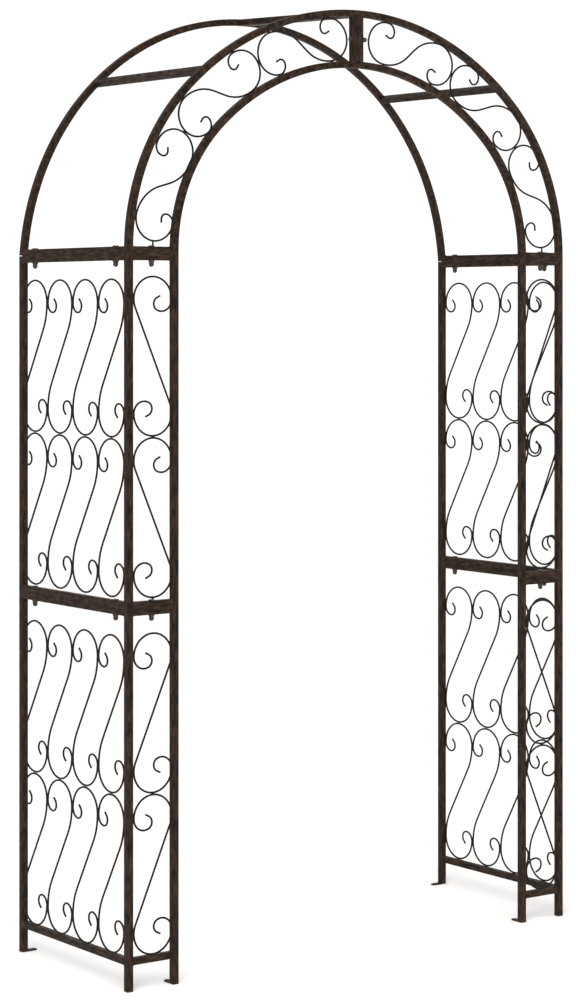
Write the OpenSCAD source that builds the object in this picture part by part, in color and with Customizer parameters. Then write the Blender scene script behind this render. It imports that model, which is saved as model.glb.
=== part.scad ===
// Metal trellis arch for a garden path.
// Two L-shaped trellis columns, each of two stacked welded sections, carry a
// double front arch and a single back arch. Each arch is made in two halves
// that meet at the crown. The origin is on the ground at the centre of the
// footprint: +X runs across the passage, +Y to the back, +Z up.

/* [Overall] */
// Width over the outer faces of the two columns
overall_w = 1320; // [1240:5:1500]
// Depth of a column, from its front face to its back face
overall_d = 488; // [440:2:560]
// Width of the narrow front panel, over its two posts
front_panel_w = 140; // [125:1:160]

/* [Tube] */
// Outside width of the square frame tube
tube = 16; // [13:0.5:18]
// Wall thickness of the frame tube
tube_wall = 1.2; // [0.8:0.1:2]

/* [Sections] */
// Height of the framed panel of one stacked section
panel_h = 811; // [780:1:850]
// Height of the legs below the bottom rail
leg_h = 60; // [40:1:90]

/* [Arch] */
// Height of the straight foot of the front arch tubes
arch_foot_h = 8; // [4:1:15]
// Bend radius of the front outer arch at its haunch
haunch_r = 530; // [480:5:560]
// Height of the front outer arch above the columns, at the tube's centreline
front_rise = 587; // [580:1:620]
// Height of the back arch above the columns, at the tube's centreline
back_rise = 605; // [580:1:640]
// Space between the two halves at the crown
crown_gap = 1; // [0.5:0.5:2]
// Distance of the haunch cross bars from the middle of the arch
haunch_bar_x = 447; // [380:1:480]

/* [Scrolls] */
// Diameter of the scroll wire
wire = 4.5; // [4:0.5:6]
// Height of one scroll in the side panels, over the wire
side_scroll_h = 366.5; // [350:0.5:375]
// Height of one scroll in the front panels, over the wire
front_scroll_h = 369.5; // [350:0.5:375]
// Bend radius between the loops and the slope of a side scroll
side_blend_r = 125; // [90:5:140]
// Bend radius between the loops and the slope of an arch scroll
arch_blend_r = 90; // [52:1:91]
// Radius of the two loops of an arch scroll, at the wire's centreline
arch_loop_r = 51.1; // [45:0.1:51.1]
// Distance between the two loop centres of an arch scroll
arch_loop_pitch = 166; // [164:1:167]
// Distance along the arch from its foot to the first loop centre
arch_first_loop = 80; // [75:1:82]

/* [Fasteners] */
// Thread diameter of the bolts
bolt_d = 8; // [6:1:8]
// Distance of the side rail bolts from the outer face of the post
bolt_inset = 63; // [40:1:90]
// Length of a foot plate beyond its leg
foot_tab = 28; // [20:1:40]
// Diameter of the peg hole in a foot plate
peg_hole_d = 8; // [5:0.5:9]

/* [Hidden] */

tube_colour = [0.20, 0.15, 0.12];
wire_colour = [0.11, 0.11, 0.11];
bolt_colour = [0.24, 0.22, 0.21];
cap_colour = [0.08, 0.08, 0.08];

// Heights of the joints between the stacked parts
mid_z = leg_h + panel_h;
top_z = mid_z + panel_h;

// Positions of the column, on the left side
outer_x = -overall_w / 2;
inner_x = outer_x + front_panel_w;
front_y = -overall_d / 2;
back_y = overall_d / 2;

// Clear sizes between the posts
clear_d = overall_d - 2 * tube;
clear_w = front_panel_w - 2 * tube;
clear_h = panel_h - 2 * tube;

// Scrolls: small clearances, the curls that close their ends, and the collars
// that join one bend of the wire to the next
scrolls_across = 4;
scroll_rows = 2;
weld_gap = 0.1;
side_curl = [[22, 100], [15, 125], [0, 9]];
front_curl = [[28, 115], [16, 130], [0, 9]];
arch_curl = [[21, 100], [12, 100], [0, 8]];
collar_l = 2;
collar_extra = 0.2;
joint_trim = 0.2;
side_loop_r = (clear_d / scrolls_across - 2 * weld_gap - wire) / 2;
front_loop_r = (clear_w - 2 * weld_gap - wire) / 2;
scrolls_per_half_arch = 3;

// The wires lie just behind the outer faces of the tubes
wire_seat = (wire + collar_extra) / 2;

// Bolt and cap nut proportions
bolt_clearance = 0.6;
bolt_hole_d = bolt_d + bolt_clearance;
head_af = 13;
head_h = 5.3;
bolt_reach = 10.5;
nut_h = 7;
nut_dome_r = 5.9;
nut_total_h = 15;
thread_gap = 0.1;
nut_bore_depth = 12;

// Foot plates and leg caps
foot_t = 3;
cap_plug_h = 12;
cap_fit = 0.2;

// Scrolls of the upper section stand clear of the bolt heads on the rail
upper_scroll_lift = head_h + 0.2;

// Front arch: three arcs, tangent to each other and to the straight feet
arch_half_w = overall_w / 2 - tube / 2;
haunch_cx = arch_half_w - haunch_r;
crown_excess = front_rise - arch_foot_h - haunch_r;
radius_step = (pow(haunch_cx, 2) + pow(crown_excess, 2)) / (2 * crown_excess);
crown_r = haunch_r + radius_step;
haunch_turn = atan2(radius_step - crown_excess, haunch_cx);
crown_cz = front_rise - crown_r;
inner_offset = front_panel_w - tube;
middle_offset = inner_offset / 2;

// Back arch: one arc, from the foot to the crown
back_foot_z = 1.5;
back_cz = (pow(back_rise, 2) - pow(arch_half_w, 2) - pow(back_foot_z, 2))
    / (2 * (back_rise - back_foot_z));
back_r = back_rise - back_cz;
back_foot_angle = asin((back_foot_z - back_cz) / back_r);

// Sleeve inside the front arch tubes
sleeve_l = 12;
sleeve_bite = 0.4;
sleeve_wall = 1;

// Height of the front and back arch centrelines at a distance from the middle
function front_arch_z(x) = crown_cz + sqrt(pow(crown_r, 2) - pow(x, 2));
function back_arch_z(x) = back_cz + sqrt(pow(back_r, 2) - pow(x, 2));

// Point of the line midway between the two front arches, by distance along it
middle_haunch_r = haunch_r - middle_offset;
middle_crown_r = crown_r - middle_offset;
middle_haunch_l = middle_haunch_r * haunch_turn * PI / 180;
function on_arc(cx, cz, r, a) = [-cx - r * cos(a), cz + r * sin(a)];
function middle_point(s) =
    s < arch_foot_h + middle_haunch_l
        ? on_arc(haunch_cx, arch_foot_h, middle_haunch_r,
                 (s - arch_foot_h) / middle_haunch_r * 180 / PI)
        : on_arc(0, crown_cz, middle_crown_r,
                 haunch_turn + (s - arch_foot_h - middle_haunch_l)
                 / middle_crown_r * 180 / PI);

// ---------- square tube ----------

module tube_section() {
    difference() {
        square(tube, center = true);
        square(tube - 2 * tube_wall, center = true);
    }
}

// Tube standing up, with its lower end at the origin
module tube_up(length) {
    linear_extrude(length) tube_section();
}

// Tube running to the back, with its front end at the origin
module tube_back(length) {
    rotate([-90, 0, 0]) tube_up(length);
}

// Tube running to the right, with its left end at the origin
module tube_right(length) {
    rotate([0, 90, 0]) tube_up(length);
}

// Tube bent to a radius in the upright plane: the arc's centre is at the
// origin, and it starts at the first angle above the left-hand horizontal
module tube_bend(r, from, to) {
    rotate([90, 0, 0])
        rotate([0, 0, 180 - to])
            rotate_extrude(angle = to - from, $fn = 180)
                translate([r, 0]) tube_section();
}

// ---------- scroll wire ----------

// Wire laid down step by step from the origin, heading along +X. A step is
// [radius, turn] for a bend to the left, or [0, length] for a straight run.
// A collar a hair thicker than the wire joins each step to the one before.
module wire_run(steps, i = 0) {
    if (i < len(steps)) {
        r = steps[i][0];
        amount = steps[i][1];
        translate([-collar_l / 2, 0, 0]) wire_straight(collar_l, wire + collar_extra);
        if (r == 0) {
            translate([joint_trim, 0, 0]) wire_straight(amount - 2 * joint_trim, wire);
            translate([amount, 0, 0]) wire_run(steps, i + 1);
        } else {
            trim = joint_trim / r * 180 / PI;
            translate([0, r, 0]) {
                rotate([0, 0, trim - 90])
                    rotate_extrude(angle = amount - 2 * trim, $fn = 96)
                        translate([r, 0]) circle(d = wire, $fn = 32);
                rotate([0, 0, amount]) translate([0, -r, 0]) wire_run(steps, i + 1);
            }
        }
    }
}

module wire_straight(length, d) {
    rotate([0, 90, 0]) cylinder(d = d, h = length, $fn = 32);
}

// One scroll, centred on the origin in the XY plane. Its two loops are
// loop_pitch apart, the slope between them runs down to the left, and a curl
// closes each loop on the inside.
module scroll(loop_r, loop_pitch, blend_r, curl) {
    half = loop_pitch / 2;
    lean = asin(blend_r / norm([half, blend_r - loop_r])) - atan2(blend_r - loop_r, half);
    slope_l = (half - blend_r * sin(lean)) / cos(lean);
    loop = blend_r == loop_r ? [[loop_r, lean + 180]] : [[blend_r, lean], [loop_r, 180]];
    path = concat(loop, curl);
    rotate([0, 0, 90 - lean]) {
        translate([joint_trim - slope_l, 0, 0]) wire_straight(2 * (slope_l - joint_trim), wire);
        for (turn = [0, 180])
            rotate([0, 0, turn]) translate([slope_l, 0, 0]) wire_run(path);
    }
}

// ---------- left half of the arch ----------

module left_front_arch(offset_in) {
    foot_x = -arch_half_w + offset_in;
    end_angle = 90 - asin(crown_gap / 2 / (crown_r - offset_in));
    haunch_trim = joint_trim / (haunch_r - offset_in) * 180 / PI;
    crown_trim = joint_trim / (crown_r - offset_in) * 180 / PI;
    translate([0, front_y + tube / 2, top_z]) {
        translate([foot_x, 0, 0]) tube_up(arch_foot_h);
        translate([-haunch_cx, 0, arch_foot_h])
            tube_bend(haunch_r - offset_in, haunch_trim, haunch_turn);
        translate([0, 0, crown_cz])
            tube_bend(crown_r - offset_in, haunch_turn + crown_trim, end_angle);
        translate([foot_x, 0, arch_foot_h]) bend_joint();
        translate([-haunch_cx, 0, arch_foot_h])
            rotate([0, haunch_turn, 0])
                translate([offset_in - haunch_r, 0, 0]) bend_joint();
    }
}

// Sleeve inside the tube, across the fine seam where one bend meets the next
module bend_joint() {
    linear_extrude(sleeve_l, center = true)
        difference() {
            square(tube - 2 * tube_wall + sleeve_bite, center = true);
            square(tube - 2 * tube_wall - sleeve_wall, center = true);
        }
}

module left_back_arch() {
    end_angle = 90 - asin(crown_gap / 2 / back_r);
    translate([0, back_y - tube / 2, top_z + back_cz])
        tube_bend(back_r, back_foot_angle, end_angle);
}

module left_arch_side_foot_rail() {
    translate([outer_x, 0, top_z]) side_rail();
}

module left_arch_front_foot_rail() {
    translate([0, 0, top_z]) front_rail();
}

module left_crown_post() {
    bottom_z = top_z + front_rise - inner_offset + tube / 2;
    length = inner_offset - tube - weld_gap * 3;
    difference() {
        translate([-(crown_gap + tube) / 2, front_y + tube / 2, bottom_z]) tube_up(length);
        crown_bolt_hole(front_y + tube / 2, crown_bolt_z());
    }
}

// Sloping bar between the front and back arches, cut flush with both
module sloping_bar(x, front_z, back_z, roll) {
    slope = atan2(back_z - front_z, clear_d);
    spare = tube;
    intersection() {
        translate([x, front_y + tube, top_z + front_z])
            rotate([slope, 0, 0])
                translate([0, -spare, 0])
                    rotate([0, roll, 0]) tube_back(clear_d + 2 * spare);
        translate([x - tube, front_y + tube, 0])
            cube([2 * tube, clear_d, 2 * top_z]);
    }
}

module left_crown_crossbar() {
    difference() {
        sloping_bar(-(crown_gap + tube) / 2, front_rise, back_rise, 0);
        crown_bolt_hole(crossbar_bolt_y(), crossbar_bolt_z());
    }
}

module left_haunch_crossbar() {
    front_z = front_arch_z(haunch_bar_x);
    back_z = back_arch_z(haunch_bar_x);
    roll = -asin(haunch_bar_x / crown_r);
    sloping_bar(-haunch_bar_x, front_z, back_z, roll);
}

// The arch scrolls follow each other midway between the two front arches
module left_arch_scrolls() {
    step = arch_loop_pitch + 2 * arch_loop_r + wire + 8 * weld_gap;
    for (i = [0 : scrolls_per_half_arch - 1]) {
        low = middle_point(arch_first_loop + i * step);
        high = middle_point(arch_first_loop + i * step + arch_loop_pitch);
        centre = (low + high) / 2;
        lie = atan2(high[1] - low[1], high[0] - low[0]) - 90;
        translate([centre[0], front_y + wire_seat, top_z + centre[1]])
            rotate([90, 0, 0]) rotate([0, 0, lie])
                scroll(arch_loop_r, norm(high - low), arch_blend_r, arch_curl);
    }
}

// ---------- left column ----------

module post(x, y, low, high) {
    translate([x + tube / 2, y + tube / 2, low]) tube_up(high - low);
}

// Side rail with its two bolt holes; its outer bottom edge is on the Y axis
module side_rail() {
    difference() {
        translate([tube / 2, front_y + tube, tube / 2]) tube_back(clear_d);
        for (y = side_bolt_ys())
            translate([tube / 2, y, -1]) cylinder(d = bolt_hole_d, h = tube + 2, $fn = 32);
    }
}

// Front rail with its middle bolt hole
module front_rail() {
    difference() {
        translate([outer_x + tube, front_y + tube / 2, tube / 2]) tube_right(clear_w);
        translate([front_bolt_x(), front_y + tube / 2, -1])
            cylinder(d = bolt_hole_d, h = tube + 2, $fn = 32);
    }
}

module plain_side_rail() {
    translate([tube / 2, front_y + tube, tube / 2]) tube_back(clear_d);
}

module plain_front_rail() {
    translate([outer_x + tube, front_y + tube / 2, tube / 2]) tube_right(clear_w);
}

module side_scrolls(base_z) {
    pitch_y = clear_d / scrolls_across;
    for (row = [0 : scroll_rows - 1])
        for (i = [0 : scrolls_across - 1])
            translate([outer_x + wire_seat,
                       back_y - tube - (i + 0.5) * pitch_y,
                       base_z + (row + 0.5) * side_scroll_h])
                rotate([90, 0, -90])
                    scroll(side_loop_r, side_scroll_h - weld_gap - wire - 2 * side_loop_r,
                           side_blend_r, side_curl);
}

module front_scrolls(base_z, hand) {
    for (row = [0 : scroll_rows - 1])
        translate([outer_x + front_panel_w / 2, front_y + wire_seat,
                   base_z + (row + 0.5) * front_scroll_h])
            rotate([90, 0, 0])
                handed(hand)
                    scroll(front_loop_r, front_scroll_h - weld_gap - wire - 2 * front_loop_r,
                           front_loop_r, front_curl);
}

// Turns its child over when hand is -1
module handed(hand) {
    if (hand < 0)
        mirror([1, 0, 0]) children();
    else
        children();
}

// Plate under a leg, with a round-ended tab that has a peg hole. The leg's
// centre is at the origin and the tab points along +X.
module foot_plate() {
    tip_x = foot_tab;
    difference() {
        union() {
            translate([-tube / 2, -tube / 2, 0]) cube([tip_x + tube / 2, tube, foot_t]);
            translate([tip_x, 0, 0]) cylinder(d = tube, h = foot_t, $fn = 48);
        }
        translate([tip_x, 0, -1]) cylinder(d = peg_hole_d, h = foot_t + 2, $fn = 32);
    }
}

module left_foot_plates() {
    translate([outer_x + tube / 2, back_y - tube / 2, 0]) foot_plate();
    translate([inner_x - tube / 2, front_y + tube / 2, 0]) rotate([0, 0, 90]) foot_plate();
}

module left_leg_cap() {
    plug = tube - 2 * tube_wall - 2 * cap_fit;
    translate([outer_x + tube / 2, front_y + tube / 2, 0]) {
        linear_extrude(foot_t) square(tube, center = true);
        translate([0, 0, foot_t]) linear_extrude(cap_plug_h)
            difference() {
                square(plug, center = true);
                square(plug - 2 * tube_wall, center = true);
            }
    }
}

// ---------- fasteners ----------

function side_bolt_ys() = [front_y + bolt_inset, back_y - bolt_inset];
function front_bolt_x() = outer_x + front_panel_w / 2;
function crown_bolt_z() = top_z + front_rise - middle_offset;
function crossbar_bolt_y() = back_y - bolt_inset;
function crossbar_bolt_z() =
    top_z + front_rise
    + (back_rise - front_rise) * (crossbar_bolt_y() - front_y - tube) / clear_d;

module crown_bolt_hole(y, z) {
    reach = 2 * tube;
    translate([-reach, y, z]) rotate([0, 90, 0]) cylinder(d = bolt_hole_d, h = 2 * reach, $fn = 32);
}

// Hexagon bolt, with its head's seat at the origin and its shank down
module bolt(grip) {
    cylinder(d = head_af / cos(30), h = head_h, $fn = 6);
    translate([0, 0, -grip - bolt_reach]) cylinder(d = bolt_d, h = grip + bolt_reach, $fn = 32);
}

// Cap nut, with its seat at the origin and its dome down
module cap_nut() {
    dome_z = nut_dome_r - nut_total_h;
    difference() {
        union() {
            translate([0, 0, -nut_h]) cylinder(d = head_af / cos(30), h = nut_h, $fn = 6);
            translate([0, 0, dome_z]) cylinder(r = nut_dome_r, h = -dome_z - nut_h / 2, $fn = 48);
            translate([0, 0, dome_z]) sphere(r = nut_dome_r, $fn = 48);
        }
        translate([0, 0, -nut_bore_depth])
            cylinder(d = bolt_d + 2 * thread_gap, h = nut_bore_depth + 1, $fn = 32);
    }
}

// Places its child at every stacking joint bolt, raised by up
module at_joint_bolts(up) {
    for (side = [0, 1], z = [mid_z, top_z])
        mirror([side, 0, 0]) {
            for (y = side_bolt_ys())
                translate([outer_x + tube / 2, y, z + up]) children();
            translate([front_bolt_x(), front_y + tube / 2, z + up]) children();
        }
}

// Places its child at the two crown bolts, lying across, moved by along
module at_crown_bolts(along) {
    for (place = [[front_y + tube / 2, crown_bolt_z()], [crossbar_bolt_y(), crossbar_bolt_z()]])
        translate([along, place[0], place[1]]) rotate([0, -90, 0]) children();
}

module joint_bolts() {
    at_joint_bolts(tube) bolt(2 * tube);
}

module joint_nuts() {
    at_joint_bolts(-tube) cap_nut();
}

module crown_bolts() {
    at_crown_bolts(-tube - crown_gap / 2) bolt(2 * tube + crown_gap);
}

module crown_nuts() {
    at_crown_bolts(tube + crown_gap / 2) cap_nut();
}

// ---------- one side, by sub-part name ----------

module half_arch(name) {
    color(tube_colour) {
        if (name == "front_outer_arch") left_front_arch(0);
        if (name == "front_inner_arch") left_front_arch(inner_offset);
        if (name == "back_arch") left_back_arch();
        if (name == "arch_side_foot_rail") left_arch_side_foot_rail();
        if (name == "arch_front_foot_rail") left_arch_front_foot_rail();
        if (name == "crown_post") left_crown_post();
        if (name == "crown_crossbar") left_crown_crossbar();
        if (name == "haunch_crossbar") left_haunch_crossbar();
    }
    color(wire_colour)
        if (name == "arch_scrolls") left_arch_scrolls();
}

module upper_section(name) {
    color(tube_colour) {
        if (name == "corner_post") post(outer_x, front_y, mid_z, top_z);
        if (name == "inner_post") post(inner_x - tube, front_y, mid_z, top_z);
        if (name == "back_post") post(outer_x, back_y - tube, mid_z, top_z);
        if (name == "side_rails")
            for (z = [mid_z, top_z - tube]) translate([outer_x, 0, z]) side_rail();
        if (name == "front_rails")
            for (z = [mid_z, top_z - tube]) translate([0, 0, z]) front_rail();
    }
    color(wire_colour) {
        if (name == "side_scrolls") side_scrolls(mid_z + tube + upper_scroll_lift);
        if (name == "front_scrolls") front_scrolls(mid_z + tube + upper_scroll_lift, -1);
    }
}

module lower_section(name) {
    color(tube_colour) {
        if (name == "corner_post") post(outer_x, front_y, foot_t, mid_z);
        if (name == "inner_post") post(inner_x - tube, front_y, foot_t, mid_z);
        if (name == "back_post") post(outer_x, back_y - tube, foot_t, mid_z);
        if (name == "side_rails") {
            translate([outer_x, 0, mid_z - tube]) side_rail();
            translate([outer_x, 0, leg_h]) plain_side_rail();
        }
        if (name == "front_rails") {
            translate([0, 0, mid_z - tube]) front_rail();
            translate([0, 0, leg_h]) plain_front_rail();
        }
        if (name == "foot_plates") left_foot_plates();
    }
    color(wire_colour) {
        if (name == "side_scrolls") side_scrolls(leg_h + tube + weld_gap);
        if (name == "front_scrolls") front_scrolls(leg_h + tube + weld_gap, 1);
    }
    color(cap_colour)
        if (name == "leg_cap") left_leg_cap();
}

// The right side is the mirror image of the left
module on_right() {
    mirror([1, 0, 0]) children();
}

half_arch("front_outer_arch");  // left_front_outer_arch
half_arch("front_inner_arch");  // left_front_inner_arch
half_arch("back_arch");  // left_back_arch
half_arch("arch_side_foot_rail");  // left_arch_side_foot_rail
half_arch("arch_front_foot_rail");  // left_arch_front_foot_rail
half_arch("crown_post");  // left_crown_post
half_arch("crown_crossbar");  // left_crown_crossbar
half_arch("haunch_crossbar");  // left_haunch_crossbar
half_arch("arch_scrolls");  // left_arch_scrolls
upper_section("corner_post");  // left_upper_corner_post
upper_section("inner_post");  // left_upper_inner_post
upper_section("back_post");  // left_upper_back_post
upper_section("side_rails");  // left_upper_side_rails
upper_section("front_rails");  // left_upper_front_rails
upper_section("side_scrolls");  // left_upper_side_scrolls
upper_section("front_scrolls");  // left_upper_front_scrolls
lower_section("corner_post");  // left_lower_corner_post
lower_section("inner_post");  // left_lower_inner_post
lower_section("back_post");  // left_lower_back_post
lower_section("side_rails");  // left_lower_side_rails
lower_section("front_rails");  // left_lower_front_rails
lower_section("side_scrolls");  // left_lower_side_scrolls
lower_section("front_scrolls");  // left_lower_front_scrolls
lower_section("foot_plates");  // left_foot_plates
lower_section("leg_cap");  // left_leg_cap
on_right() half_arch("front_outer_arch");  // right_front_outer_arch
on_right() half_arch("front_inner_arch");  // right_front_inner_arch
on_right() half_arch("back_arch");  // right_back_arch
on_right() half_arch("arch_side_foot_rail");  // right_arch_side_foot_rail
on_right() half_arch("arch_front_foot_rail");  // right_arch_front_foot_rail
on_right() half_arch("crown_post");  // right_crown_post
on_right() half_arch("crown_crossbar");  // right_crown_crossbar
on_right() half_arch("haunch_crossbar");  // right_haunch_crossbar
on_right() half_arch("arch_scrolls");  // right_arch_scrolls
on_right() upper_section("corner_post");  // right_upper_corner_post
on_right() upper_section("inner_post");  // right_upper_inner_post
on_right() upper_section("back_post");  // right_upper_back_post
on_right() upper_section("side_rails");  // right_upper_side_rails
on_right() upper_section("front_rails");  // right_upper_front_rails
on_right() upper_section("side_scrolls");  // right_upper_side_scrolls
on_right() upper_section("front_scrolls");  // right_upper_front_scrolls
on_right() lower_section("corner_post");  // right_lower_corner_post
on_right() lower_section("inner_post");  // right_lower_inner_post
on_right() lower_section("back_post");  // right_lower_back_post
on_right() lower_section("side_rails");  // right_lower_side_rails
on_right() lower_section("front_rails");  // right_lower_front_rails
on_right() lower_section("side_scrolls");  // right_lower_side_scrolls
on_right() lower_section("front_scrolls");  // right_lower_front_scrolls
on_right() lower_section("foot_plates");  // right_foot_plates
on_right() lower_section("leg_cap");  // right_leg_cap
color(bolt_colour) joint_bolts();
color(bolt_colour) joint_nuts();
color(bolt_colour) crown_bolts();
color(bolt_colour) crown_nuts();
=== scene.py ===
from math import asin, atan2, cos, hypot, pi, radians, sin, sqrt

import bpy
from bpy.props import FloatProperty, FloatVectorProperty, PointerProperty
from mathutils import Matrix, Vector


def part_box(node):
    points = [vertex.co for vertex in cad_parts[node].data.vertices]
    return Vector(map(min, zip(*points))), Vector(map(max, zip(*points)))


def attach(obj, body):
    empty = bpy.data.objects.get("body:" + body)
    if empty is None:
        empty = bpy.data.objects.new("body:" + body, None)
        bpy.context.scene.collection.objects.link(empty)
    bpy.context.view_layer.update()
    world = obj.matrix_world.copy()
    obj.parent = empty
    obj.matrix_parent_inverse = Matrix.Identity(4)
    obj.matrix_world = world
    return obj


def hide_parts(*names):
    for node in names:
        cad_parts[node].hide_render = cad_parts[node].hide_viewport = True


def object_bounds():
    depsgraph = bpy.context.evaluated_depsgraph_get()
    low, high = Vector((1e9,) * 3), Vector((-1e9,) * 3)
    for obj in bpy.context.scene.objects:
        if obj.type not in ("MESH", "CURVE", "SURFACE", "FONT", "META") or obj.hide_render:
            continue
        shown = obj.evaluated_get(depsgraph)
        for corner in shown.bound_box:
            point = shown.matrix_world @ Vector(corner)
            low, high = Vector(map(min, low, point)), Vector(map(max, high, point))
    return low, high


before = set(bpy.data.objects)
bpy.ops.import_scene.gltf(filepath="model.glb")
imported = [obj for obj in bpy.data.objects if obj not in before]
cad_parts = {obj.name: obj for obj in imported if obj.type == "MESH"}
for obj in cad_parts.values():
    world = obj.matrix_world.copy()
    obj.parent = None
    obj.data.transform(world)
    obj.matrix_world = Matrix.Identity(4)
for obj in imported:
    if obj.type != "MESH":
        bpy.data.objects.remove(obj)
CAD_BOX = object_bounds()

bl_info = {
    "name": "Metal Trellis Arch",
    "version": (1, 0, 0),
    "blender": (4, 5, 0),
    "location": "View3D > Sidebar > Trellis Arch",
    "description": "Builds a bolted garden arch of bronzed square tube and black scroll wire",
    "category": "Object",
}

SIDES = ("left", "right")
SECTIONS = ("upper", "lower")

# ---------- sizes that the frame gives, in metres ----------

post_low, post_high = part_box("left_upper_corner_post")
TUBE = post_high.x - post_low.x
OUTER_X, FRONT_Y = post_low.x, post_low.y
MID_Z, TOP_Z = post_low.z, post_high.z
BACK_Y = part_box("left_upper_back_post")[1].y
INNER_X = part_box("left_upper_inner_post")[1].x
FOOT_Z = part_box("left_lower_corner_post")[0].z
CROWN_GAP = -2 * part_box("left_crown_post")[1].x
CLEAR_D = BACK_Y - FRONT_Y - 2 * TUBE
CLEAR_W = INNER_X - OUTER_X - 2 * TUBE
FRONT_MID_X = (OUTER_X + INNER_X) / 2

# ---------- the arch's curves ----------

# each half of the front arch: a short straight foot, a haunch bend and a flatter crown bend
FOOT_H = 0.008
HAUNCH_R = 0.530
FRONT_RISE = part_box("left_front_outer_arch")[1].z - TUBE / 2 - TOP_Z
BACK_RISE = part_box("left_back_arch")[1].z - TUBE / 2 - TOP_Z
INNER_OFFSET = INNER_X - OUTER_X - TUBE
MIDDLE_OFFSET = INNER_OFFSET / 2
HALF_W = -OUTER_X - TUBE / 2
HAUNCH_CX = HALF_W - HAUNCH_R
CROWN_EXCESS = FRONT_RISE - FOOT_H - HAUNCH_R
RADIUS_STEP = (HAUNCH_CX ** 2 + CROWN_EXCESS ** 2) / (2 * CROWN_EXCESS)
CROWN_R = HAUNCH_R + RADIUS_STEP
HAUNCH_TURN = atan2(RADIUS_STEP - CROWN_EXCESS, HAUNCH_CX)
CROWN_CZ = FRONT_RISE - CROWN_R
# the back arch: one bend, whose foot starts just clear of its post
BACK_FOOT = 0.0015
BACK_CZ = (BACK_RISE ** 2 - HALF_W ** 2 - BACK_FOOT ** 2) / (2 * (BACK_RISE - BACK_FOOT))
BACK_R = BACK_RISE - BACK_CZ
ARCH_FACET = radians(1.5)
TUBE_WALL = 0.0012
OPEN_DEPTH = 0.008

# ---------- scrolls ----------

SCROLLS_ACROSS = 4
SCROLL_ROWS = 2
ARCH_SCROLLS = 3
WELD_GAP = 0.0001
ARCH_WELD_GAP = 8 * WELD_GAP
# each curl inside a loop, as the steps of a bar: two tighter bends and a straight tip
SIDE_CURL = ((0.022, radians(100)), (0.015, radians(125)), (0, 0.009))
FRONT_CURL = ((0.028, radians(115)), (0.016, radians(130)), (0, 0.009))
ARCH_CURL = ((0.021, radians(100)), (0.012, radians(100)), (0, 0.008))
SIDE_BLEND_R = 0.125
ARCH_BLEND_R = 0.090
ARCH_FIRST_LOOP = 0.080
ARCH_PITCH = 0.166
WIRE_SIDES = 12
WIRE_FACET = radians(6)

# ---------- welds ----------

BEAD_LUMPS = 6
BEAD_R = 0.0019
BEAD_PITCH = 0.0024
TACK_R = 0.0022
TACK_SHAPE = (0.9, 0.85, 2.1)
STUB_R = 0.0021
STUB_FLARE = 1.1
STUB_LAP = 0.001

# ---------- bolts, feet and caps ----------

HEAD_AF = 0.013
BOLT_INSET = BACK_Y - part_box("joint_bolts")[1].y + HEAD_AF / 2
# radius of the flat that the turned corners leave, and how steeply they are turned
HEAD_FLAT_R = HEAD_AF * 0.475
CHAMFER_SLOPE = 1.9
HEAD_EDGE = 0.00025
WASHER_R = HEAD_AF * 0.47
WASHER_H = 0.0006
NUT_H = 0.007
NUT_TOTAL = 0.015
DOME_R = 0.0059
PLATE_EDGE = 0.0004
PEG_R = 0.004
DRILL_LENGTH = 0.02
CAP_EDGE = 0.0009

# ---------- stage ----------

# the sweep's floor, and the bend and the wall behind it
FLOOR_W, FLOOR_D, FLOOR_Y = 60, 24, 2
BEND_R, WALL_H = 6, 14
SWEEP_TURN = radians(36)
AIR_STRENGTH = 0.62
# name, place, width and power of each softbox
SOFTBOXES = (("key_softbox", (-4.5, -4.5, 4.5), 3.0, 210),
             ("fill_softbox", (4.5, -3.5, 2.5), 3.0, 60))
SUN_STRENGTH, SUN_SIZE, SUN_TILT = 1.6, radians(60), radians(35)
# an upright camera, shifted down instead of tilted
SENSOR_H = 36.0
LENS = SENSOR_H * 2682.0 / 1000
SHIFT_Y = -0.1925
CAMERA_AT = (-3.9396, -5.3962, 1.5581)
CAMERA_TURN = -0.627


def linear(hex_colour):
    """An sRGB hex colour as linear RGB."""
    parts = [int(hex_colour[i:i + 2], 16) / 255 for i in (1, 3, 5)]
    return [p / 12.92 if p <= 0.04045 else ((p + 0.055) / 1.055) ** 2.4 for p in parts]


# ---------- modelling ----------

def only(*objects):
    """Selects these objects and nothing else, with the first one active."""
    bpy.ops.object.select_all(action="DESELECT")
    for obj in objects:
        obj.select_set(True)
    bpy.context.view_layer.objects.active = objects[0]


def edit(obj, select="SELECT"):
    """Opens the object in edit mode, with all of it selected or nothing."""
    only(obj)
    bpy.ops.object.mode_set(mode="EDIT")
    bpy.ops.mesh.select_all(action=select)


def done():
    """Leaves edit mode and gives back the object."""
    bpy.ops.object.mode_set(mode="OBJECT")
    return bpy.context.object


def close_up(obj, angle=30):
    """Merges doubles, turns the faces outwards and shades the shape."""
    edit(obj)
    bpy.ops.mesh.remove_doubles(threshold=1e-6)
    bpy.ops.mesh.normals_make_consistent(inside=False)
    done()
    bpy.ops.object.shade_smooth_by_angle(angle=radians(angle))
    return obj


def placed(obj, matrix):
    """Puts the object in its place and leaves the place in its mesh."""
    only(obj)
    obj.matrix_world = matrix
    bpy.ops.object.transform_apply(location=True, rotation=True, scale=True)
    if matrix.to_3x3().determinant() < 0:
        edit(obj)
        bpy.ops.mesh.normals_make_consistent(inside=False)
        done()
    return obj


def copied(obj, matrix):
    """A copy with its own mesh, put in its place."""
    twin = obj.copy()
    twin.data = obj.data.copy()
    bpy.context.collection.objects.link(twin)
    return placed(twin, matrix)


def joined(objects):
    """The objects as one."""
    only(*objects)
    if len(objects) > 1:
        bpy.ops.object.join()
    return bpy.context.object


def discard(*objects):
    """Removes patterns and tools that have done their work."""
    for obj in objects:
        bpy.data.objects.remove(obj)


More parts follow.
